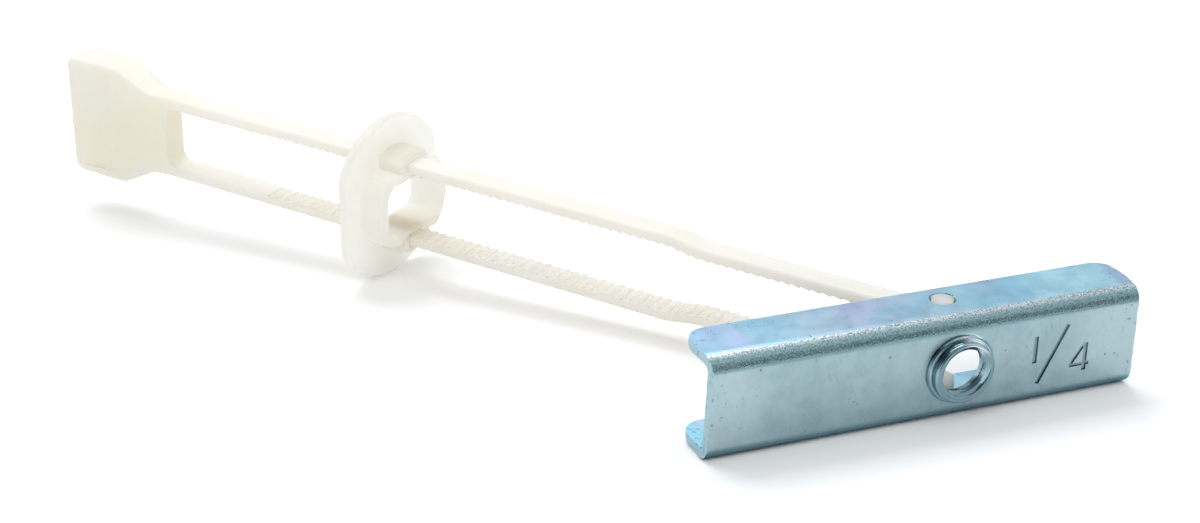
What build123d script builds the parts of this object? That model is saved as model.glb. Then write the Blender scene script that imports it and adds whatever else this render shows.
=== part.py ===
from build123d import *

import os

os.makedirs("parts", exist_ok=True)

# Flip toggle bolt: a folded steel channel that swings on the end of a toothed nylon strap,
# and a plastic cap that ratchets down the strap to the wall.
# Millimetres. +Z is up and is the axis the channel flips about. +X runs along the channel.
# +Y is the way the bolt leaves. The origin is on the threaded hole's axis, where it crosses
# the outer face of the channel's web.

# --- Driving dimensions ---------------------------------------------------------------

# Steel channel
LONG_ARM = 27.3  # from the pivot to the far end, on the -X side
SHORT_ARM = 20.3  # from the pivot to the near end, on the +X side
FLANGE_DEPTH = 6.8  # outer web face to the flanges' free edges
SHEET = 1.0
BEND_OUTER_RADIUS = 1.8
FLANGE_CORNER_RADIUS = 2.3
PIVOT_FROM_WEB = 4.49  # outer web face to the flip axis
PIVOT_HOLE_DIAMETER = 2.45

# Threaded collar, drawn out of the web for a 1/4-20 bolt
BOLT_DIAMETER = 6.35
THREAD_MINOR_DIAMETER = 5.1
COLLAR_HEIGHT = 1.25
COLLAR_WALL = 0.75
COLLAR_ROOT_RADIUS = 0.4
COLLAR_TIP_CHAMFER = 0.2
MOUTH_RADIUS = 0.45

# Nylon strap: two toothed legs joined by a pull handle
FLIP_AT_REST = 37.0  # degrees between the strap and the bolt's line
LEG_WIDTH = 3.0
LEG_THICKNESS = 1.3
LEG_SPREAD = 0.6  # each leg steps out this far once clear of the folded channel
SPREAD_RUN = 3.0
SPREAD_RADIUS = 12.0  # softens both bends of that step
EYE_DIAMETER = 3.8
EYE_FACE_HEIGHT = 0.04  # the eye's bearing face stands this proud of the leg
TOOTH_PITCH = 1.2
TOOTH_DEPTH = 0.25
FIRST_TOOTH = 8.0  # from the flip axis
TOOTHED_LENGTH = 78.0
STRAP_LENGTH = 116.7  # flip axis to the end of the handle
HANDLE_HEIGHT = 15.0
HANDLE_THICKNESS = 4.4
HANDLE_GRIP_LENGTH = 7.9
HANDLE_TAPER_LENGTH = 4.8
HANDLE_CORNER_RADIUS = 1.3
HANDLE_FLOW_RADIUS = 6.0  # where the legs' sides swell into the thicker grip
HANDLE_WEB_LENGTH = 2.4  # solid stretch between the taper and the window
WINDOW_CORNER_RADIUS = 1.3
OUTER_EDGE_ROUNDING = 0.5
DISH_RADIUS = 9.0
DISH_DEPTH = 0.5
DISH_RIM = 1.0
GATE_NUB_HEIGHT = 0.4
GATE_NUB_LENGTH = 2.0

# Ratchet cap
CAP_AT_REST = 68.4  # flip axis to the cap's seating face
FLANGE_DIAMETER = 19.2
FLANGE_ACROSS_FLATS = 16.8
FLAT_CORNER_RADIUS = 2.0
CAP_FLANGE_THICKNESS = 1.5
CAP_RIM_ROUNDING = 0.55
CAP_SEAT_CHAMFER = 0.25
GUIDE_DIAMETER = 12.4  # the barrel and its two leg guides enter a 12.7 mm wall hole
GUIDE_LENGTH = 3.3
GUIDE_WIDTH = 4.8
GUIDE_LEAD_IN = 0.55
BARREL_WALL = 0.9
WINDOW_RADIUS = 1.8
PAWL_LENGTH = 0.7

# Clearances
FLANGE_GAP = 0.1  # leg to flange, each side
FOLD_GAP = 0.4  # channel's far end to the legs' step, when folded
PIVOT_GAP = 0.08  # pivot pin to its hole, all round
BOLT_GAP = 0.075  # bolt to the legs' eyes and to the cap window, each side
SLOT_GAP = 0.12  # leg to cap slot, each side
PAWL_GAP = 0.07  # tooth crests to pawl tip
TINY = 1e-3  # for finding an edge or corner by its place

# --- Sizes that follow ----------------------------------------------------------------

BOLT_WAY = BOLT_DIAMETER / 2 + BOLT_GAP  # half the clear height the bolt needs
LEG_INNER_AT_PIVOT = BOLT_WAY
LEG_OUTER_AT_PIVOT = LEG_INNER_AT_PIVOT + LEG_THICKNESS
HALF_WIDTH = LEG_OUTER_AT_PIVOT + FLANGE_GAP + SHEET  # of the channel, over its flanges
CHANNEL_WIDTH = 2 * HALF_WIDTH
LEG_OUTER = LEG_OUTER_AT_PIVOT + LEG_SPREAD
LEG_INNER = LEG_INNER_AT_PIVOT + LEG_SPREAD
SPREAD_START = LONG_ARM + FOLD_GAP
SPREAD_END = SPREAD_START + SPREAD_RUN
TAPER_END = STRAP_LENGTH - HANDLE_GRIP_LENGTH
TAPER_START = TAPER_END - HANDLE_TAPER_LENGTH
WINDOW_END = TAPER_START - HANDLE_WEB_LENGTH
SLOT_OUTER = LEG_OUTER + SLOT_GAP
PAWL_TIP = LEG_INNER - PAWL_GAP
PAWL_WALL = (PAWL_TIP - BOLT_WAY) / 2  # wall between window and slot
WINDOW_WIDTH = GUIDE_DIAMETER - 2 * BARREL_WALL
BARREL_HEIGHT = 2 * (BOLT_WAY + BARREL_WALL)


def channel():
    """One folded sheet: web, two flanges, pivot holes and the drawn, threaded collar."""
    length = LONG_ARM + SHORT_ARM
    middle = (SHORT_ARM - LONG_ARM) / 2
    inner_radius = BEND_OUTER_RADIUS - SHEET
    tube_half = FLANGE_DEPTH + BEND_OUTER_RADIUS  # the channel is one side of a closed tube, cut off
    outside = RectangleRounded(2 * tube_half, CHANNEL_WIDTH, BEND_OUTER_RADIUS)
    inside = RectangleRounded(2 * (tube_half - SHEET), CHANNEL_WIDTH - 2 * SHEET, inner_radius)
    kept = Pos(FLANGE_DEPTH / 2, 0) * Rectangle(FLANGE_DEPTH, CHANNEL_WIDTH)
    section = kept & Pos(tube_half, 0) * (outside - inside)
    far_end = Plane(origin=(-LONG_ARM, 0, 0), x_dir=(0, 1, 0), z_dir=(1, 0, 0))
    body = extrude(far_end * section, length)

    plan = Pos(middle, FLANGE_DEPTH / 2) * Rectangle(length, FLANGE_DEPTH)
    free_corners = plan.vertices().group_by(Axis.Y)[-1]
    plan = fillet(free_corners, FLANGE_CORNER_RADIUS)
    body &= Pos(0, 0, -HALF_WIDTH) * extrude(plan, CHANNEL_WIDTH)

    body += collar_boss()
    bore = Cylinder(THREAD_MINOR_DIAMETER / 2, 4 * FLANGE_DEPTH, rotation=(90, 0, 0))
    body -= bore
    body -= Pos(0, PIVOT_FROM_WEB) * Cylinder(PIVOT_HOLE_DIAMETER / 2, 2 * CHANNEL_WIDTH)

    rims = body.edges().filter_by(GeomType.CIRCLE)
    mouth = [e for e in rims if e.arc_center.Z ** 2 < TINY and abs(e.arc_center.Y - SHEET) < TINY]
    return fillet(mouth, MOUTH_RADIUS)


def collar_boss():
    """Solid of revolution about the bolt's line, with a soft root and a bevelled tip."""
    tip_radius = THREAD_MINOR_DIAMETER / 2 + COLLAR_WALL
    root = tip_radius + COLLAR_ROOT_RADIUS
    sunk = SHEET / 2  # the solid starts inside the web, to fuse with it
    tip_y = -COLLAR_HEIGHT
    shoulder_y = tip_y + COLLAR_TIP_CHAMFER
    crown = tip_radius - COLLAR_TIP_CHAMFER
    outline = [
        Line((0, sunk), (root, sunk)),
        Line((root, sunk), (root, 0)),
        RadiusArc((root, 0), (tip_radius, -COLLAR_ROOT_RADIUS), COLLAR_ROOT_RADIUS),
        Line((tip_radius, -COLLAR_ROOT_RADIUS), (tip_radius, shoulder_y)),
        Line((tip_radius, shoulder_y), (crown, tip_y)),
        Line((crown, tip_y), (0, tip_y)),
        Line((0, tip_y), (0, sunk)),
    ]
    return revolve(make_face(outline), Axis.Y)


def mirrored(points):
    """The same points below the strap's middle plane, in the opposite order."""
    return [(along, -w) for along, w in reversed(points)]


def crest_height(along):
    """Inner edge of the upper leg at a tooth's crest: it follows the leg's step outwards."""
    stepped = min(max((along - SPREAD_START) / SPREAD_RUN, 0), 1)
    return LEG_INNER_AT_PIVOT + stepped * LEG_SPREAD


def leg_inner_edge():
    """Toothed edge of the upper leg, from the pivot to the window's end.

    Ramps face the channel's way, and steep faces stop the cap's return."""
    points = [(0, LEG_INNER_AT_PIVOT), (FIRST_TOOTH, LEG_INNER_AT_PIVOT)]
    for tooth in range(1, round(TOOTHED_LENGTH / TOOTH_PITCH) + 1):
        along = FIRST_TOOTH + tooth * TOOTH_PITCH
        points.append((along, crest_height(along) + TOOTH_DEPTH))
        points.append((along, crest_height(along)))
    points.append((WINDOW_END, LEG_INNER))
    return points


def strap_side_view():
    """Both legs and the handle as one outline, with the handle's corners rounded."""
    top = HANDLE_HEIGHT / 2
    outer = [(0, LEG_OUTER_AT_PIVOT), (SPREAD_START, LEG_OUTER_AT_PIVOT)]
    outer += [(SPREAD_END, LEG_OUTER), (TAPER_START, LEG_OUTER), (TAPER_END, top), (STRAP_LENGTH, top)]
    inner = leg_inner_edge()
    outline = outer + mirrored(outer) + list(reversed(mirrored(inner))) + list(reversed(inner))
    view = make_face(Plane.YZ * Polyline(*outline, close=True))
    rounded = {
        (SPREAD_START, LEG_OUTER_AT_PIVOT): SPREAD_RADIUS,
        (SPREAD_END, LEG_OUTER): SPREAD_RADIUS,
        (STRAP_LENGTH, top): HANDLE_CORNER_RADIUS,
        (TAPER_END, top): HANDLE_CORNER_RADIUS,
        (TAPER_START, LEG_OUTER): 2 * HANDLE_CORNER_RADIUS,
        (WINDOW_END, LEG_INNER): WINDOW_CORNER_RADIUS,
    }
    for (along, w), radius in rounded.items():
        corners = [v for v in view.vertices() if abs(v.Y - along) < TINY and abs(abs(v.Z) - w) < TINY]
        view = fillet(corners, radius)
    return view


def strap_plan():
    """Seen from above: leg width up to the taper, then the thicker handle."""
    leg, grip = LEG_WIDTH / 2, HANDLE_THICKNESS / 2
    full = (TAPER_START + TAPER_END) / 2
    right = [(leg, 0), (leg, WINDOW_END), (grip, full), (grip, STRAP_LENGTH)]
    left = [(-x, along) for x, along in reversed(right)]
    view = make_face(Polyline(*right, *left, close=True))
    swell = [v for v in view.vertices() if WINDOW_END - TINY < v.Y < full + TINY]
    return fillet(swell, HANDLE_FLOW_RADIUS)


def is_outer_edge(edge):
    """True for the edges round the strap's outline that a hand meets, false for the teeth's."""
    box = edge.bounding_box()
    on_outline = min(abs(box.min.Z), abs(box.max.Z)) > LEG_OUTER_AT_PIVOT - TINY
    crosswise = box.size.Y < TINY
    at_end = box.max.Y > STRAP_LENGTH - TINY and box.size.Z > TINY
    return on_outline and (not crosswise or at_end)


def strap():
    """One moulding, drawn with the flip axis on Z and the legs running along +Y."""
    body = extrude(strap_side_view(), HANDLE_THICKNESS / 2, both=True)
    body &= extrude(strap_plan(), HANDLE_HEIGHT, both=True)

    body = fillet([e for e in body.edges() if is_outer_edge(e)], OUTER_EDGE_ROUNDING)
    for side in (-1, 1):
        dish_x = side * (HANDLE_THICKNESS / 2 + DISH_RADIUS - DISH_DEPTH)
        dish_y = STRAP_LENGTH - HANDLE_GRIP_LENGTH / 2
        body -= Pos(dish_x, dish_y) * Cylinder(DISH_RADIUS, HANDLE_HEIGHT - 2 * DISH_RIM)

        eye_height = LEG_THICKNESS + EYE_FACE_HEIGHT
        eye = Cylinder(EYE_DIAMETER / 2, eye_height)
        body += Pos(0, 0, side * (LEG_INNER_AT_PIVOT + eye_height / 2)) * eye
        pin_length = HALF_WIDTH - LEG_OUTER_AT_PIVOT
        pin = Cylinder(PIVOT_HOLE_DIAMETER / 2 - PIVOT_GAP, pin_length)
        body += Pos(0, 0, side * (HALF_WIDTH - pin_length / 2)) * pin
    nub = Cylinder(GATE_NUB_LENGTH / 2, 2 * GATE_NUB_HEIGHT, rotation=(90, 0, 0))
    return body + Pos(0, STRAP_LENGTH, GATE_NUB_LENGTH / 2) * nub


def cap():
    """One moulding, drawn like the strap: a flange with two flats, and a barrel with leg guides."""
    along_strap = Plane(origin=(0, CAP_AT_REST, 0), x_dir=(1, 0, 0), z_dir=(0, 1, 0))
    outline = Circle(FLANGE_DIAMETER / 2) & Rectangle(FLANGE_ACROSS_FLATS, FLANGE_DIAMETER)
    outline = fillet(outline.vertices(), FLAT_CORNER_RADIUS)
    flange = extrude(outline, CAP_FLANGE_THICKNESS)
    flange = fillet(flange.edges().group_by(Axis.Z)[-1], CAP_RIM_ROUNDING)
    flange = chamfer(flange.edges().group_by(Axis.Z)[0], CAP_SEAT_CHAMFER)

    whole = 4 * (CAP_FLANGE_THICKNESS + GUIDE_LENGTH)
    barrel = extrude(Circle(GUIDE_DIAMETER / 2), -GUIDE_LENGTH)
    barrel = chamfer(barrel.edges().sort_by(Axis.Z)[0], GUIDE_LEAD_IN)
    section = Rectangle(GUIDE_DIAMETER, BARREL_HEIGHT) + Rectangle(GUIDE_WIDTH, GUIDE_DIAMETER)
    body = flange + (barrel & extrude(section, whole, both=True))

    window = RectangleRounded(WINDOW_WIDTH, 2 * BOLT_WAY, WINDOW_RADIUS)
    body -= extrude(window, whole, both=True)
    slot_inner = BOLT_WAY + PAWL_WALL
    for side in (-1, 1):
        slot = Box(LEG_WIDTH + 2 * SLOT_GAP, SLOT_OUTER - slot_inner, whole)
        body -= Pos(0, side * (SLOT_OUTER + slot_inner) / 2, 0) * slot
        body += pawl(side, slot_inner)
    return along_strap * body


def pawl(side, slot_inner):
    """Small wedge on a slot's inner wall. It rides up the teeth's ramps and catches their steep faces."""
    wedge = Plane.ZY * Polyline((-PAWL_LENGTH, slot_inner - PAWL_WALL / 2), (-PAWL_LENGTH, slot_inner),
                                (0, PAWL_TIP), (0, slot_inner - PAWL_WALL / 2), close=True)
    solid = extrude(make_face(wedge), LEG_WIDTH / 2, both=True)
    return solid if side > 0 else mirror(solid, Plane.XZ)


def on_strap(piece):
    """Swing a piece drawn along +Y to where the strap stands at rest."""
    return Pos(0, PIVOT_FROM_WEB, 0) * Rot(0, 0, FLIP_AT_REST) * piece


export_step(channel(), "parts/toggle_channel.step")
export_step(on_strap(strap()), "parts/pull_strap.step")
export_step(on_strap(cap()), "parts/ratchet_cap.step")
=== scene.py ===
import math
from types import SimpleNamespace

import bmesh
import bpy
from mathutils import Matrix, Vector, noise


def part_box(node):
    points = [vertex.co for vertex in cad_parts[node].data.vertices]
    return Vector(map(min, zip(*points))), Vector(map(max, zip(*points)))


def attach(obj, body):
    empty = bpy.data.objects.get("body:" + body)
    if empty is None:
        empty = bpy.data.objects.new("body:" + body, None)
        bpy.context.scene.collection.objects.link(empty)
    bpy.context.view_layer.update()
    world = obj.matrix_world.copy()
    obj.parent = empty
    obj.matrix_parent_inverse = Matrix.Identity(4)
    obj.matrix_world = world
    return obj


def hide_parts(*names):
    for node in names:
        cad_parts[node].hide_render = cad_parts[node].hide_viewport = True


# Frame: metres, +Z up. X runs along the channel, and +Y is the way the bolt leaves. The origin
# is on the collar's axis, where it crosses the outer face of the channel's web.
# Lengths below are in mm where nothing else is said.

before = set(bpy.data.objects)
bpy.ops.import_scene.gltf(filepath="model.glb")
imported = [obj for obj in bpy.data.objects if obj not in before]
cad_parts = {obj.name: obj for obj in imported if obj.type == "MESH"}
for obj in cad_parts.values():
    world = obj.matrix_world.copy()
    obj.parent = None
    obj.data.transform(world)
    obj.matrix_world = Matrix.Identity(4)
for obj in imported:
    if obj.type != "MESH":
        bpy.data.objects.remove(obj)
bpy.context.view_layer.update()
MM = 0.001


# --- Camera ------------------------------------------------------------------------------

AZIMUTH, ELEVATION, ROLL = map(math.radians, (21.197, 25.750, 0.780))
FOCAL_OF_WIDTH = 2293.0 / 1200.0  # focal length over the picture's width
SENSOR = 36.0
SOLVED_ABOUT = Vector((0.0, 1.0, 0.0))  # the camera's place was solved from this point
SEEN_RIGHT, SEEN_UP, SEEN_AHEAD = 35.377, -10.241, 228.52  # where the camera sees it
CLIP_METRES = (0.005, 20.0)


def make_camera():
    """Looks at the part from the photograph's side, a little above."""
    a, e = AZIMUTH, ELEVATION
    forward = Vector((math.sin(a) * math.cos(e), math.cos(a) * math.cos(e), -math.sin(e)))
    level = Vector((math.cos(a), -math.sin(a), 0.0))
    upward = level.cross(forward)
    right = level * math.cos(ROLL) + upward * math.sin(ROLL)
    up = -level * math.sin(ROLL) + upward * math.cos(ROLL)
    place = SOLVED_ABOUT - (right * SEEN_RIGHT + up * SEEN_UP + forward * SEEN_AHEAD)
    data = bpy.data.cameras.new("camera")
    data.sensor_width = SENSOR
    data.lens = FOCAL_OF_WIDTH * SENSOR
    data.clip_start, data.clip_end = CLIP_METRES
    camera = bpy.data.objects.new("camera", data)
    turn = Matrix((right, up, -forward)).transposed()
    camera.matrix_world = Matrix.Translation(place * MM) @ turn.to_4x4()
    bpy.context.scene.collection.objects.link(camera)
    bpy.context.scene.camera = camera


# --- Shader building blocks ----------------------------------------------------------------

class Shader:
    """A material or world with short calls for adding nodes and linking them."""

    def __init__(self, block):
        block.use_nodes = True
        self.tree = block.node_tree
        self.tree.nodes.clear()

    def node(self, kind, ins=None, **props):
        n = self.tree.nodes.new("ShaderNode" + kind)
        for key, value in props.items():
            setattr(n, key, value)
        for key, value in (ins or {}).items():
            socket = n.inputs[key]
            if isinstance(value, bpy.types.NodeSocket):
                self.tree.links.new(value, socket)
            else:
                socket.default_value = value
        return n

    def maths(self, op, a, b=0.0, clamp=False):
        return self.node("Math", {0: a, 1: b}, operation=op, use_clamp=clamp).outputs[0]

    def times(self, *factors):
        product = factors[0]
        for factor in factors[1:]:
            product = self.maths("MULTIPLY", product, factor)
        return product

    def rest_of(self, mask):
        return self.maths("SUBTRACT", 1.0, mask)

    def mix(self, factor, a, b):
        """A colour between a and b."""
        return self.node("Mix", {0: factor, 6: a, 7: b}, data_type="RGBA").outputs[2]

    def blend(self, factor, a, b):
        """A number between a and b."""
        return self.node("Mix", {0: factor, 2: a, 3: b}, data_type="FLOAT").outputs[0]

    def step(self, value, low, high, at_low, at_high):
        """Turns smoothly from at_low to at_high while the value goes from low to high."""
        ins = {0: value, 1: low, 2: high, 3: at_low, 4: at_high}
        return self.node("MapRange", ins, interpolation_type="SMOOTHSTEP").outputs[0]

    def rise(self, value, span, top=1.0):
        return self.step(value, *span, 0.0, top)

    def fall(self, value, span, top=1.0):
        return self.step(value, *span, top, 0.0)

    def noise(self, where, size_mm, detail=3.0, rough=0.55, warp=0.0):
        ins = {"Vector": where, "Scale": 1.0 / (size_mm * MM), "Detail": detail,
               "Roughness": rough, "Distortion": warp}
        return self.node("TexNoise", ins).outputs["Fac"]

    def bump(self, height, depth_mm, normal=None):
        ins = {"Height": height, "Strength": 1.0, "Distance": depth_mm * MM}
        if normal is not None:
            ins["Normal"] = normal
        return self.node("Bump", ins).outputs[0]

    def finish(self, surface, kind="OutputMaterial"):
        out = self.node(kind)
        self.tree.links.new(surface, out.inputs[0])


def rgb(r, g, b):
    """Colour as seen on screen, 0 to 255, to the renderer's linear value."""
    def linear(c):
        c /= 255.0
        return c / 12.92 if c <= 0.04045 else ((c + 0.055) / 1.055) ** 2.4
    return (linear(r), linear(g), linear(b), 1.0)


# --- Zinc plate: where things are on the channel -------------------------------------------

# Each span holds two values, between which a mask turns. UP spans are shares of how far the
# surface faces up or down, and the others are places in mm.
UP_FLANGE = (0.90, 0.99)
UP_BEND_STARTS, UP_BEND_ENDS = (0.08, 0.35), (0.94, 0.995)
# Where the bend's crown faces up far enough to get a painted highlight.
UP_BEND_PAINTED_HIGHLIGHT = (0.72, 0.92)
# Painted dark reflection band along the line where the web turns into the bend.
UP_EDGE_STARTS, UP_EDGE_ENDS = (0.03, 0.20), (0.25, 0.55)  # the line where web turns to bend
# Where the lower bend, facing the floor, gets painted shade.
UP_UNDER = (0.02, 0.45)
Z_UPPER_HALF = (-2.0, 2.0)
Y_NEAR_WEB_ENDS = (1.6, 2.0)
RADIUS_COLLAR_ENDS, Y_COLLAR_ENDS = (3.6, 4.0), (1.1, 1.4)


def plate_places(s):
    """A point's place on the channel in mm, and masks of 0 to 1 for the channel's regions."""
    p = SimpleNamespace()
    coords = s.node("TexCoord").outputs
    p.where = coords["Object"]
    in_mm = s.node("VectorMath", {0: p.where, "Scale": 1.0 / MM}, operation="SCALE").outputs[0]
    p.x, p.y, p.z = s.node("SeparateXYZ", {0: in_mm}).outputs
    facing = s.node("SeparateXYZ", {0: coords["Normal"]}).outputs
    p.along_bolt = s.maths("ABSOLUTE", facing["Y"])
    p.up = s.maths("ABSOLUTE", facing["Z"])
    across = s.node("CombineXYZ", {"X": p.x, "Y": 0.0, "Z": p.z}).outputs[0]
    p.radius = s.node("VectorMath", {0: across}, operation="LENGTH").outputs["Value"]

    p.collar = s.times(s.fall(p.radius, RADIUS_COLLAR_ENDS), s.fall(p.y, Y_COLLAR_ENDS))
    not_collar = s.rest_of(p.collar)
    p.flange = s.rise(p.up, UP_FLANGE)
    p.bend = s.times(s.rise(p.up, UP_BEND_STARTS), s.fall(p.up, UP_BEND_ENDS), not_collar)
    above = s.rise(p.z, Z_UPPER_HALF)
    near_web = s.times(s.fall(p.y, Y_NEAR_WEB_ENDS), not_collar)
    p.upper_bend = s.times(p.bend, above)
    # Painted dark reflection band where the web turns into the bend, on the upper half.
    p.edge = s.times(s.rise(p.up, UP_EDGE_STARTS), s.fall(p.up, UP_EDGE_ENDS), above, near_web)
    # Painted shade on the lower bend, near the floor.
    p.under = s.times(s.rise(p.up, UP_UNDER), s.rest_of(above), near_web)
    p.clouds = s.noise(p.where, size_mm=2.4, detail=4.0, rough=0.62)
    p.grain = s.noise(p.where, size_mm=0.20, detail=2.0, rough=0.65)
    return p


# --- Zinc plate: tints, and painted highlights -----------------------------------------------

WEB_DEEP, WEB_LIGHT = rgb(155, 180, 187), rgb(172, 196, 202)
WEB_SHADE, WEB_AT_ENDS = rgb(138, 163, 170), rgb(204, 224, 230)
CLOUDS_TURN, SHADE_TURNS = (0.32, 0.66), (0.40, 0.62)
SHADE_SHARE, END_SHARE = 0.35, 0.40
X_PALE_RIGHT, X_PALE_LEFT = (9.0, 18.0), (-26.0, -19.0)

BLUE_LEFT, BLUE_MIDDLE = rgb(152, 200, 217), rgb(184, 201, 217)
BLUE_RIGHT, BLUE_FAR_RIGHT = rgb(180, 219, 235), rgb(198, 237, 250)
X_BLUES_TURN = (-26.0, -10.0), (-8.0, 6.0), (6.0, 15.0)
BLUE_PATCH, PATCHES_END, PATCH_SHARE = rgb(150, 198, 222), (0.36, 0.52), 0.45
LILAC, LILAC_TURNS, LILAC_SHARE = rgb(186, 188, 222), (0.30, 1.30), 0.60
LILAC_AT, LILAC_EVERY, LILAC_WANDER = 6.3, 15.2, 3.0

# The bend turns from its lower tint to a painted highlight where its crown faces up.
BEND_LOW, BEND_PAINTED_HIGHLIGHT = rgb(178, 212, 219), rgb(232, 244, 249)

COLLAR_FLANK, COLLAR_FACE, COLLAR_PAINTED_HIGHLIGHT = rgb(160, 186, 194), rgb(126, 154, 164), rgb(240, 250, 253)
FACE_TURNS = (0.90, 0.98)
# Where the collar gets a painted highlight, on its upper right.
Z_PAINTED_HIGHLIGHT, X_PAINTED_HIGHLIGHT_STARTS, X_PAINTED_HIGHLIGHT_ENDS = (1.0, 2.2), (-0.6, 0.6), (1.8, 2.8)
# Where the collar gets painted dark reflections and shade: the flank's upper left, the thread's
# lower right.
X_DARK_FLANK, Z_DARK_FLANK, RADIUS_FLANK = (-1.6, -0.6), (0.2, 1.2), (2.9, 3.1)
X_DARK_BORE, Z_DARK_BORE, RADIUS_BORE = (-0.2, 0.8), (-1.6, -0.6), (2.58, 2.64)
DARK_FLANK_SHARE = 0.5


def web_tint(s, p):
    """Clouded teal grey, paler towards both ends."""
    tint = s.mix(s.rise(p.clouds, CLOUDS_TURN), WEB_DEEP, WEB_LIGHT)
    wide = s.noise(p.where, size_mm=14.0, detail=2.0, rough=0.5)
    tint = s.mix(s.rise(wide, SHADE_TURNS, SHADE_SHARE), tint, WEB_SHADE)
    pale_end = s.maths("MAXIMUM", s.rise(p.x, X_PALE_RIGHT), s.fall(p.x, X_PALE_LEFT))
    return s.mix(s.times(pale_end, END_SHARE), tint, WEB_AT_ENDS)


def flange_tint(s, p):
    """Passivate's sky blue, paler to the right, with deeper patches and wandering lilac bands."""
    patches = s.noise(p.where, size_mm=6.0, detail=2.0, rough=0.5, warp=0.5)
    blue = BLUE_LEFT
    for span, next_blue in zip(X_BLUES_TURN, (BLUE_MIDDLE, BLUE_RIGHT, BLUE_FAR_RIGHT)):
        blue = s.mix(s.rise(p.x, span), blue, next_blue)
    blue = s.mix(s.fall(patches, PATCHES_END, PATCH_SHARE), blue, BLUE_PATCH)
    turn = s.times(s.maths("SUBTRACT", p.x, LILAC_AT), 2 * math.pi / LILAC_EVERY)
    wander = s.times(s.maths("SUBTRACT", patches, 0.5), LILAC_WANDER)
    wave = s.maths("ADD", s.maths("COSINE", turn), wander)
    return s.mix(s.rise(wave, LILAC_TURNS, LILAC_SHARE), blue, LILAC)


def collar_tint(s, p):
    """Darker than the web, with a painted highlight on the upper right."""
    # Painted highlight on the collar's upper right.
    lit = s.times(s.rise(p.z, Z_PAINTED_HIGHLIGHT), s.rise(p.x, X_PAINTED_HIGHLIGHT_STARTS), s.fall(p.x, X_PAINTED_HIGHLIGHT_ENDS))
    tint = s.mix(s.rise(p.along_bolt, FACE_TURNS), COLLAR_FLANK, COLLAR_FACE)
    return s.mix(lit, tint, COLLAR_PAINTED_HIGHLIGHT)


def collar_painted_dark(s, p):
    """Mask of painted dark reflections and shade: the collar flank's upper left, the thread's lower
    right.
    """
    flank = s.times(s.fall(p.x, X_DARK_FLANK), s.rise(p.z, Z_DARK_FLANK),
                    s.rise(p.radius, RADIUS_FLANK), DARK_FLANK_SHARE)
    bore = s.times(s.rise(p.x, X_DARK_BORE), s.fall(p.z, Z_DARK_BORE),
                   s.fall(p.radius, RADIUS_BORE))
    return s.times(s.maths("MAXIMUM", flank, bore), p.collar)


# --- Zinc plate: wear, painted shade, roughness and relief -------------------------------------

PIT_SPACING, PIT_SIZE, PITS_WHERE = 0.8, (0.10, 0.20), (0.57, 0.63)
X_SCUFFED_RIGHT, X_SCUFFED_LEFT, SCUFFS_TURN = (15.5, 20.3), (-27.3, -23.5), (0.60, 0.68)
SCRATCH_LEAN, SCRATCH_STRETCH = 1.35, 9.0  # radians about Y, and times longer than wide
SCRATCH_WIDTH, SCRATCHES_WHERE = (0.002, 0.008), (0.58, 0.64)
Y_STROKES_START, Y_STROKES_END = (0.01, 0.06), (0.25, 0.30)
X_STROKES_START, X_STROKES_END, Z_STROKES_END = (7.0, 7.5), (18.0, 18.5), (3.6, 3.8)
SPECKS_TURN = (0.42, 0.52)

WORN, STROKE_FLOOR = rgb(84, 104, 110), rgb(66, 84, 90)
# The next two lines also hold painted light: a dark reflection band at the web's top edge, painted
# shade on the lower bend, and the collar's painted dark reflections.
SPECK, EDGE_PAINTED_REFLECTION = rgb(136, 166, 172), rgb(98, 134, 141)
UNDER_PAINTED_SHADE, COLLAR_PAINTED_DARK = rgb(84, 108, 116), rgb(62, 86, 94)

CLOUDS_ROUGHEN, ROUGHNESS, GRAIN_ROUGHNESS = (0.3, 0.7), (0.24, 0.36), 0.06
COLLAR_ROUGHNESS, BEND_SMOOTHER = 0.065, 0.08
EDGE_ON_TINT = (0.55, 0.80, 0.90, 1.0)
DRAWN_STRETCH = 0.05  # the rolled sheet's fine lines run along X
TURNED_PITCH, TURNED_UNEVEN = 0.30, 0.2  # tool marks round the collar
GRAIN_DEPTH, DRAWN_DEPTH, SPECK_DEPTH = 0.008, 0.003, 0.045
MARK_DEPTH, SCRATCH_SHARE_OF_MARK, TURNED_DEPTH = 0.03, 0.2, 0.010


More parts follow.
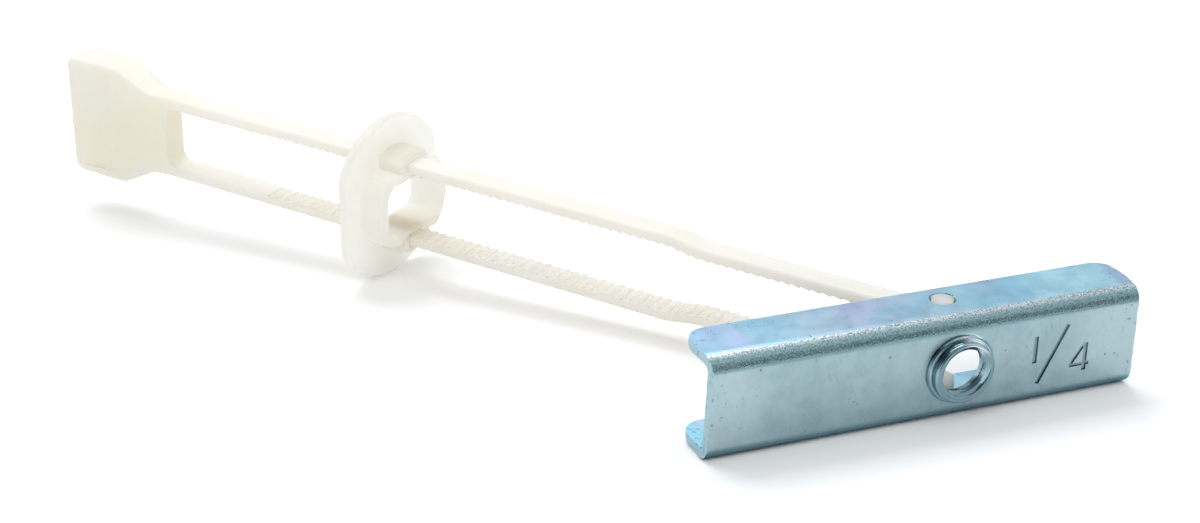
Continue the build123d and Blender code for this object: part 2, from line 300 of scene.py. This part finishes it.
def plate_wear(s, p):
    """Masks of the marks (pits, and scuffs at the ends), the scratches and the strokes' floors."""
    cells = s.node("TexVoronoi", {"Vector": p.where, "Scale": 1.0 / (PIT_SPACING * MM)},
                   feature="F1").outputs["Distance"]
    pitted = s.rise(s.noise(p.where, size_mm=3.0, detail=2.0), PITS_WHERE)
    pits = s.times(s.fall(cells, PIT_SIZE), pitted)
    to_end = s.maths("MAXIMUM", s.rise(p.x, X_SCUFFED_RIGHT), s.fall(p.x, X_SCUFFED_LEFT))
    scuffs = s.rise(s.noise(p.where, size_mm=0.5, detail=3.0, rough=0.7), SCUFFS_TURN)
    marks = s.maths("MAXIMUM", pits, s.times(scuffs, to_end))

    slanted = s.node("Mapping", {"Vector": p.where, "Rotation": (0.0, SCRATCH_LEAN, 0.0),
                                 "Scale": (SCRATCH_STRETCH, 1.0, 1.0)},
                     vector_type="TEXTURE").outputs[0]
    lines = s.noise(slanted, size_mm=1.1, detail=2.0, rough=0.6)
    lines = s.maths("ABSOLUTE", s.maths("SUBTRACT", lines, 0.5))
    scratched = s.rise(s.noise(p.where, size_mm=5.0, detail=1.0), SCRATCHES_WHERE)
    scratches = s.times(s.fall(lines, SCRATCH_WIDTH), scratched)

    strokes = s.times(s.rise(p.y, Y_STROKES_START), s.fall(p.y, Y_STROKES_END),
                      s.rise(p.x, X_STROKES_START), s.fall(p.x, X_STROKES_END),
                      s.fall(s.maths("ABSOLUTE", p.z), Z_STROKES_END))
    return marks, scratches, strokes


def plate_roughness(s, p):
    """Satin, finely uneven, and polished on the collar."""
    rough = s.step(p.clouds, *CLOUDS_ROUGHEN, *ROUGHNESS)
    rough = s.maths("ADD", rough, s.times(p.grain, GRAIN_ROUGHNESS))
    rough = s.blend(p.collar, rough, COLLAR_ROUGHNESS)
    return s.maths("SUBTRACT", rough, s.times(p.bend, BEND_SMOOTHER))


def plate_relief(s, p, marks, scratches):
    """Fine grain, the sheet's drawn lines, the speckled bend, wear, and rings round the collar."""
    lengthwise = s.node("Mapping", {"Vector": p.where, "Scale": (DRAWN_STRETCH, 1.0, 1.0)})
    drawn = s.noise(lengthwise.outputs[0], size_mm=0.12, detail=2.0, rough=0.7)
    uneven = s.times(s.noise(p.where, size_mm=1.5), TURNED_UNEVEN)
    rings = s.maths("ADD", s.maths("ADD", p.radius, p.y), uneven)
    rings = s.maths("SINE", s.times(rings, 2 * math.pi / TURNED_PITCH))
    relief = s.bump(p.grain, GRAIN_DEPTH)
    relief = s.bump(drawn, DRAWN_DEPTH, relief)
    relief = s.bump(s.times(p.grain, p.upper_bend), SPECK_DEPTH, relief)
    worn = s.maths("MAXIMUM", marks, s.times(scratches, SCRATCH_SHARE_OF_MARK))
    relief = s.bump(worn, -MARK_DEPTH, relief)
    return s.bump(s.times(rings, p.collar), TURNED_DEPTH, relief)


def zinc_plate():
    """Bright zinc with a blue passivate: blue and lilac on the flanges, teal grey on the web."""
    material = bpy.data.materials.new("zinc_plate")
    s = Shader(material)
    p = plate_places(s)
    marks, scratches, strokes = plate_wear(s, p)
    tint = s.mix(p.flange, web_tint(s, p), flange_tint(s, p))
    # The bend gets a painted highlight where it faces up.
    tint = s.mix(p.bend, tint, s.mix(s.rise(p.up, UP_BEND_PAINTED_HIGHLIGHT), BEND_LOW, BEND_PAINTED_HIGHLIGHT))
    tint = s.mix(p.collar, tint, collar_tint(s, p))
    specks = s.times(p.upper_bend, s.fall(p.grain, SPECKS_TURN))
    # Colour marks: the collar's painted dark reflections and shade, real scratches, pits, scuffs
    # and punched strokes, grain specks, a painted dark reflection band where the web turns into the
    # bend, and painted shade on the lower bend.
    for mask, share, colour in ((collar_painted_dark(s, p), 0.85, COLLAR_PAINTED_DARK),
                                (scratches, 0.30, WORN), (marks, 0.55, WORN),
                                (strokes, 0.38, STROKE_FLOOR), (specks, 0.75, SPECK),
                                (p.edge, 0.62, EDGE_PAINTED_REFLECTION), (p.under, 0.75, UNDER_PAINTED_SHADE)):
        tint = s.mix(s.times(mask, share), tint, colour)
    skin = s.node("BsdfPrincipled", {
        "Base Color": tint, "Metallic": 1.0, "Roughness": plate_roughness(s, p),
        "Specular Tint": EDGE_ON_TINT, "Normal": plate_relief(s, p, marks, scratches)})
    s.finish(skin.outputs[0])
    return material


# --- Nylon and floor ---------------------------------------------------------------------------

NYLON_SCATTER = (1.0, 0.92, 0.80)  # red light travels farthest
NYLON_IOR = 1.5
NYLON_CLOUDS_TURN, NYLON_SKIN_TURNS = (0.35, 0.65), (0.3, 0.7)
ROUGHNESS_SPREAD = 0.05
MOULD_DEPTH, SKIN_DEPTH = 0.05, 0.006
FLOOR_HALF_METRES = 3.0
FLOOR_GAP = 0.02
FLOOR_DEEP, FLOOR_PALE = (0.86, 0.86, 0.86, 1.0), (0.88, 0.88, 0.88, 1.0)
FLOOR_SEEN = (1.03, 1.03, 1.03, 1.0)  # lifts the lit floor to white for the camera
FLOOR_MIRRORED = (0.97, 0.97, 0.97, 1.0)  # and for the metal's reflections
LOWER_BEND_Y = 1.3  # the channel lies on its lower bend, this far behind the web's face


def nylon(name, pale, deep, depth_mm, rough, glow, clear=0.0):
    """Unfilled moulded nylon: satin, and light that falls on the far side comes through."""
    material = bpy.data.materials.new(name)
    s = Shader(material)
    where = s.node("TexCoord").outputs["Object"]
    clouds = s.noise(where, size_mm=7.0, detail=3.0, rough=0.5)
    fine = s.noise(where, size_mm=0.35, detail=2.0, rough=0.5)
    tint = s.mix(s.rise(clouds, NYLON_CLOUDS_TURN), deep, pale)
    relief = s.bump(fine, SKIN_DEPTH, s.bump(clouds, MOULD_DEPTH))
    rougher = (rough - ROUGHNESS_SPREAD, rough + ROUGHNESS_SPREAD)
    uneven = s.step(fine, *NYLON_SKIN_TURNS, *rougher)
    skin = s.node("BsdfPrincipled", {
        "Base Color": tint, "Roughness": uneven, "Normal": relief, "IOR": NYLON_IOR,
        "Subsurface Weight": 1.0, "Subsurface Scale": depth_mm * MM,
        "Subsurface Radius": NYLON_SCATTER, "Transmission Weight": clear})
    through = s.node("BsdfTranslucent", {"Color": tint, "Normal": relief})
    both = s.node("MixShader", {0: glow, 1: skin.outputs[0], 2: through.outputs[0]})
    s.finish(both.outputs[0])
    return material


def floor_paper():
    """White paper. It is lighter for the camera's and the metal's rays, and keeps its shadows."""
    material = bpy.data.materials.new("floor_paper")
    s = Shader(material)
    where = s.node("TexCoord").outputs["Object"]
    ray = s.node("LightPath").outputs
    seen = s.maths("ADD", ray["Is Camera Ray"], ray["Is Transmission Ray"], clamp=True)
    tint = s.mix(s.noise(where, size_mm=40.0), FLOOR_DEEP, FLOOR_PALE)
    tint = s.mix(ray["Is Glossy Ray"], tint, FLOOR_MIRRORED)
    tint = s.mix(seen, tint, FLOOR_SEEN)
    s.finish(s.node("BsdfDiffuse", {"Color": tint}).outputs[0])
    return material


def make_floor():
    """The part rests on the channel's lower bend and the cap's rim, so the floor leans a little."""
    channel_lo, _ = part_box("toggle_channel")
    cap_lo, cap_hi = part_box("ratchet_cap")
    under_channel = Vector((0.0, LOWER_BEND_Y * MM, channel_lo[2]))
    under_cap = Vector((0.0, (cap_lo[1] + cap_hi[1]) / 2, cap_lo[2]))
    lean = math.atan2(under_cap.z - under_channel.z, under_cap.y - under_channel.y)
    corners = [(x * FLOOR_HALF_METRES, y * FLOOR_HALF_METRES, 0)
               for x, y in ((-1, -1), (1, -1), (1, 1), (-1, 1))]
    mesh = bpy.data.meshes.new("floor")
    mesh.from_pydata(corners, [], [(0, 1, 2, 3)])
    floor = bpy.data.objects.new("floor", mesh)
    floor.matrix_world = Matrix.Translation(under_channel) @ Matrix.Rotation(lean, 4, "X")
    floor.location.z -= FLOOR_GAP * MM
    bpy.context.scene.collection.objects.link(floor)
    mesh.materials.append(floor_paper())


# --- Light -----------------------------------------------------------------------------------

ROOM_COLOUR, ROOM_STRENGTH = (0.90, 0.95, 1.0, 1.0), 0.55
CARDS = (  # direction, cosines where the card starts and is full, colour
    ((0.0, 0.05, 1.0), (0.72, 0.92), (1.35, 1.38, 1.40, 1.0)),  # bright, overhead
    ((0.33, 0.84, 0.43), (0.90, 0.97), (1.10, 1.20, 1.27, 1.0)),  # bright, behind and to the right
    ((0.30, -0.93, 0.20), (0.88, 0.96), (0.16, 0.18, 0.19, 1.0)),  # dark, in front
    ((-0.78, 0.00, 0.62), (0.90, 0.94), (0.01, 0.012, 0.015, 1.0)),  # dark, high on the left
    ((-0.60, -0.68, 0.38), (0.93, 0.97), (0.10, 0.12, 0.13, 1.0)),  # dark, in front on the left
)
WHITE, WARM_WHITE = (1.0, 1.0, 1.0), (1.0, 0.99, 0.98)
LAMPS = (  # name, place, aim, size, watts, colour, mirrored in the metal
    ("key", (-40, 330, 420), (-20, 40, 0), (420, 300), 1.36, WHITE, True),
    ("fill_left", (-270, -150, 290), (-30, 50, 0), (240, 200), 0.50, WARM_WHITE, False),
    ("fill_right", (210, -240, 300), (-20, 40, 0), (240, 200), 0.36, WARM_WHITE, False),
)


def make_world():
    """A soft pale room, with bright and dark cards that give the metal its bands."""
    world = bpy.data.worlds.new("studio")
    bpy.context.scene.world = world
    s = Shader(world)
    where = s.node("TexCoord").outputs["Generated"]
    tint = ROOM_COLOUR
    for way, span, card in CARDS:
        unit = Vector(way).normalized()
        near = s.node("VectorMath", {0: where, 1: unit}, operation="DOT_PRODUCT").outputs["Value"]
        tint = s.mix(s.rise(near, span), tint, card)
    room = s.node("Background", {"Color": tint, "Strength": ROOM_STRENGTH})
    s.finish(room.outputs[0], "OutputWorld")


def lamp(name, place_mm, aim_mm, size_mm, watts, colour, mirrored):
    data = bpy.data.lights.new(name, "AREA")
    data.shape = "RECTANGLE"
    data.size, data.size_y = size_mm[0] * MM, size_mm[1] * MM
    data.energy = watts
    data.color = colour
    obj = bpy.data.objects.new(name, data)
    place, aim = Vector(place_mm) * MM, Vector(aim_mm) * MM
    obj.location = place
    obj.rotation_mode = "QUATERNION"
    obj.rotation_quaternion = (aim - place).to_track_quat("-Z", "Y")
    obj.visible_glossy = mirrored
    bpy.context.scene.collection.objects.link(obj)


# --- Dressed channel: cutters ----------------------------------------------------------------

THREAD_PITCH = 1.27  # 20 turns to the inch
THREAD_INNER, THREAD_OUTER = 2.42, 3.04  # the cutter's radii, from inside the bore to the root
THREAD_MOUTH, THREAD_FLOOR = 0.50, 0.07  # half the groove's height at those radii
THREAD_STARTS, THREAD_TURNS, THREAD_STEPS = -2.6, 3.4, 56

PIVOT_Y = 4.49
FLANGE_FACE = 5.65
RIM_MOUTH, RIM_FLOOR, RIM_DEPTH, RIM_STEPS = 1.47, 1.15, 0.25, 40
CUTTER_PROUD = 0.1

STROKE_PROUD, STROKE_END_SLOPE = 0.05, 0.10
STROKES = (  # the size mark 1/4, as x and z of both ends, width and depth
    (8.55, 2.1, 8.55, -0.95, 0.55, 0.18),  # 1
    (12.15, 2.9, 9.05, -3.35, 0.50, 0.18),  # the slash
    (14.45, 0.45, 14.45, -2.75, 0.55, 0.18),  # the 4's stem
    (14.35, 0.40, 12.75, -1.95, 0.38, 0.15),  # its slope
    (12.70, -1.95, 15.00, -1.95, 0.42, 0.15),  # and its bar
)


def edited(mesh, change):
    """Runs change on the mesh as a bmesh."""
    bm = bmesh.new()
    bm.from_mesh(mesh)
    change(bm)
    bm.to_mesh(mesh)
    bm.free()


def solid(name, verts, faces):
    """A closed mesh from points in mm, as an object in the scene."""
    mesh = bpy.data.meshes.new(name)
    mesh.from_pydata([Vector(v) * MM for v in verts], [], faces)
    edited(mesh, lambda bm: bmesh.ops.recalc_face_normals(bm, faces=bm.faces))
    obj = bpy.data.objects.new(name, mesh)
    bpy.context.scene.collection.objects.link(obj)
    return obj


def thread_cutter():
    """The groove of a 1/4-20 thread, swept round the collar's axis and past both its ends."""
    profile = ((THREAD_INNER, -THREAD_MOUTH), (THREAD_OUTER, -THREAD_FLOOR),
               (THREAD_OUTER, THREAD_FLOOR), (THREAD_INNER, THREAD_MOUTH))
    verts = []
    for i in range(int(THREAD_STEPS * THREAD_TURNS) + 1):
        turn = i / THREAD_STEPS
        a = 2 * math.pi * turn
        for r, offset in profile:
            y = THREAD_STARTS + THREAD_PITCH * turn + offset
            verts.append((r * math.sin(a), y, r * math.cos(a)))
    last = len(verts) - 4
    faces = [(0, 1, 2, 3), tuple(range(last, last + 4))]
    for i in range(0, last, 4):
        for k in range(4):
            n = (k + 1) % 4
            faces.append((i + k, i + n, i + 4 + n, i + 4 + k))
    return solid("thread_cutter", verts, faces)


def stroke_cutter(x0, z0, x1, z1, width, depth):
    """One punched stroke in the web, narrower and shorter at its bottom."""
    along = Vector((x1 - x0, 0, z1 - z0)).normalized()
    across = Vector((-along.z, 0, along.x))
    verts = []
    for y, half, inset in ((-STROKE_PROUD, width / 2, 0.0), (depth, width / 3, STROKE_END_SLOPE)):
        for end, sign in (((x0, z0), 1), ((x1, z1), -1)):
            base = Vector((end[0], y, end[1])) + along * sign * inset
            verts += [base + across * half * sign, base - across * half * sign]
    faces = [(0, 1, 2, 3), (4, 5, 6, 7), (0, 1, 5, 4), (1, 2, 6, 5), (2, 3, 7, 6), (3, 0, 4, 7)]
    return solid("stroke_cutter", verts, faces)


def rim_cutter(side):
    """Opens the pivot hole's outer rim a little, round the strap's pin."""
    verts = []
    for z, r in ((FLANGE_FACE + CUTTER_PROUD, RIM_MOUTH), (FLANGE_FACE - RIM_DEPTH, RIM_FLOOR)):
        for i in range(RIM_STEPS):
            a = 2 * math.pi * i / RIM_STEPS
            verts.append((r * math.cos(a), PIVOT_Y + r * math.sin(a), side * z))
    n = RIM_STEPS
    faces = [tuple(range(n)), tuple(range(n, 2 * n))]
    faces += [(i, (i + 1) % n, n + (i + 1) % n, n + i) for i in range(n)]
    return solid("rim_cutter", verts, faces)


# --- Dressed channel: sheared ends and assembly --------------------------------------------------

LONG_END, SHORT_END = -27.3, 20.3  # the channel's two sheared ends, along X
LONG_STRIP, SHORT_STRIP = 0.7, 0.5  # the end strips that get a finer mesh
STRIP_SLACK = 0.02
GRID = 0.45
GRID_Z, GRID_Y = range(-12, 13), range(0, 15)
MOVED_WITHIN = 0.3  # of an end
SKEW, SKEW_HALF_WIDTH, SKEW_REACH = 0.45, 4.5, 3.0  # the long end's web leans this far off square
RAGGED_LONG, RAGGED_SHORT = 0.14, 0.16
WELD = 0.0005
CREASE_DEGREES = 32


def is_in_strip(face):
    xs = [v.co.x for v in face.verts]
    return (min(xs) > (SHORT_END - SHORT_STRIP - STRIP_SLACK) * MM
            or max(xs) < (LONG_END + LONG_STRIP + STRIP_SLACK) * MM)


def raggedness(x, y, z):
    """A slow wave and a finer one, and nothing below zero."""
    slow = noise.noise((y * 0.9, z * 0.9, x * 0.05))
    fine = noise.noise((y * 3.1, z * 3.1, 7.0))
    return max(0.0, 0.5 + 0.5 * slow + 0.35 * fine)


def shear_ends(bm):
    """The ends were sheared, so they run a little off square and wavy."""
    for x in (LONG_END + LONG_STRIP, SHORT_END - SHORT_STRIP):
        geom = bm.verts[:] + bm.edges[:] + bm.faces[:]
        bmesh.ops.bisect_plane(bm, geom=geom, plane_co=(x * MM, 0, 0), plane_no=(1, 0, 0))
    cuts = [((0, 0, k * GRID * MM), (0, 0, 1)) for k in GRID_Z]
    cuts += [((0, k * GRID * MM, 0), (0, 1, 0)) for k in GRID_Y]
    for place, way in cuts:
        faces = [f for f in bm.faces if is_in_strip(f)]
        edges = {e for f in faces for e in f.edges}
        verts = {v for f in faces for v in f.verts}
        geom = list(verts) + list(edges) + faces
        bmesh.ops.bisect_plane(bm, geom=geom, plane_co=place, plane_no=way)
    for v in bm.verts:
        x, y, z = v.co / MM
        ragged = raggedness(x, y, z)
        if x < LONG_END + MOVED_WITHIN:
            lean = min(max((z + SKEW_HALF_WIDTH) / (2 * SKEW_HALF_WIDTH), 0.0), 1.0)
            skew = SKEW * lean * max(0.0, 1 - y / SKEW_REACH)
            v.co.x += (skew + RAGGED_LONG * ragged) * MM
        elif x > SHORT_END - MOVED_WITHIN:
            v.co.x -= RAGGED_SHORT * ragged * MM


def crease(bm):
    """Smooth all over, apart from edges sharper than the crease angle."""
    for f in bm.faces:
        f.smooth = True
    for e in bm.edges:
        e.smooth = len(e.link_faces) == 2 and e.calc_face_angle(0.0) < math.radians(CREASE_DEGREES)


def bake(obj):
    """Applies the object's modifiers."""
    graph = bpy.context.evaluated_depsgraph_get()
    obj.data = bpy.data.meshes.new_from_object(obj.evaluated_get(graph))
    obj.modifiers.clear()


def dressed_channel():
    """The channel with its thread, the punched size mark, opened pivot rims and sheared ends."""
    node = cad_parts["toggle_channel"]
    mesh = node.data.copy()
    mesh.transform(node.matrix_world)
    edited(mesh, lambda bm: bmesh.ops.remove_doubles(bm, verts=bm.verts, dist=WELD * MM))
    piece = bpy.data.objects.new("threaded_channel", mesh)
    bpy.context.scene.collection.objects.link(piece)
    cutters = [thread_cutter(), rim_cutter(1), rim_cutter(-1)]
    cutters += [stroke_cutter(*stroke) for stroke in STROKES]
    for cutter in cutters:
        cut = piece.modifiers.new("cut", "BOOLEAN")
        cut.operation, cut.solver, cut.object = "DIFFERENCE", "EXACT", cutter
    bake(piece)
    for cutter in cutters:
        bpy.data.objects.remove(cutter)
    edited(piece.data, shear_ends)
    edited(piece.data, crease)
    piece.modifiers.new("even_normals", "WEIGHTED_NORMAL").keep_sharp = True
    bake(piece)
    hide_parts("toggle_channel")
    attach(piece, "channel")
    return piece


# --- Build -------------------------------------------------------------------------------

bpy.context.scene.view_settings.view_transform = "Standard"
make_camera()
make_world()
for settings in LAMPS:
    lamp(*settings)
make_floor()

plate = zinc_plate()
channel = dressed_channel()
channel.data.materials.clear()
channel.data.materials.append(plate)

finishes = {
    "toggle_channel": plate,
    "pull_strap": nylon("strap_nylon", pale=rgb(255, 249, 238), deep=rgb(255, 246, 231),
                        depth_mm=2.8, rough=0.42, glow=0.22),
    "ratchet_cap": nylon("cap_nylon", pale=rgb(255, 254, 250), deep=rgb(254, 252, 246),
                         depth_mm=2.5, rough=0.34, glow=0.68, clear=0.12),
}
for node, material in finishes.items():
    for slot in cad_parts[node].material_slots:
        slot.material = material
